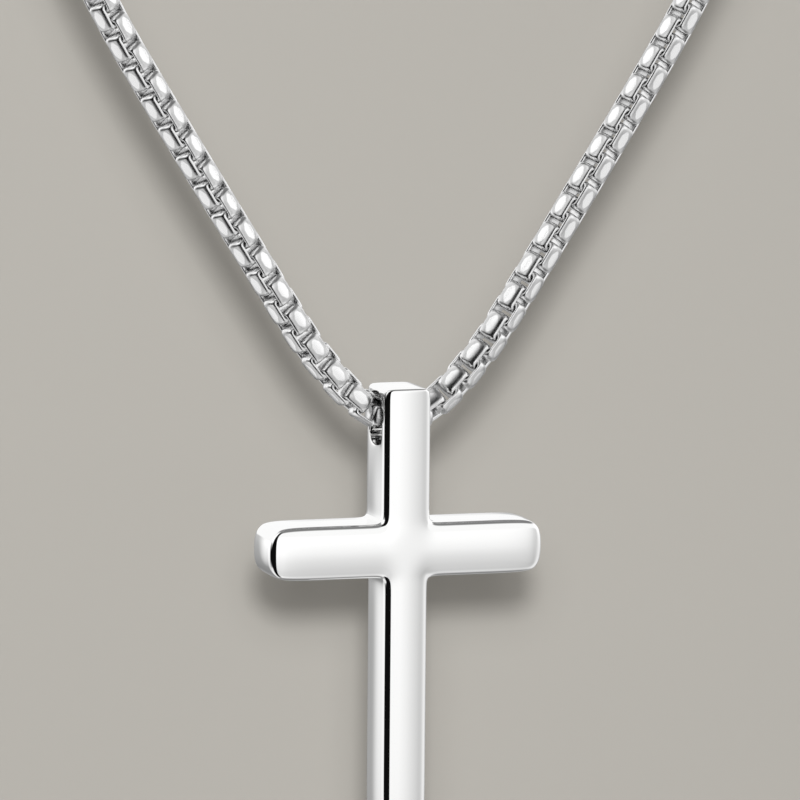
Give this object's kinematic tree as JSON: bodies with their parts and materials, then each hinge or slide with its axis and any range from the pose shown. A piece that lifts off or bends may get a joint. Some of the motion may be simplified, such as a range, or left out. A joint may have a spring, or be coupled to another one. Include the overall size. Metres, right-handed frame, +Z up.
{
  "type": "cross pendant on a round box chain",
  "caption": "Polished silver cross pendant with domed crossbar ends, hanging free on a round box chain that runs through a slot bored sideways near the top of its upright.",
  "frame": {"origin": "underside of the clasp at the top middle of the loop, where the necklace hangs on the nape of a neck or on a hook", "axes": "+Z up along the hanging loop, +X along the crossbar, -Y out of the front of the cross"},
  "size_m": [0.1192, 0.0053, 0.2476],
  "materials": {
    "cross_silver": "mirror-polished silver",
    "chain_silver": "tumbled and polished silver, bright on the outer faces and darker between the links",
    "clasp_silver": "polished silver"
  },
  "bodies": {
    "chain": {"chain_left": "chain_silver", "chain_right": "chain_silver", "clasp": "clasp_silver"},
    "cross": {"cross": "cross_silver"}
  },
  "joints": [
    {"name": "cross_swing", "type": "hinge", "parent": "chain", "child": "cross", "pos_m": [0, 0, -0.2057], "axis": [1, 0, 0], "range_deg": [-75, 75]}
  ]
}
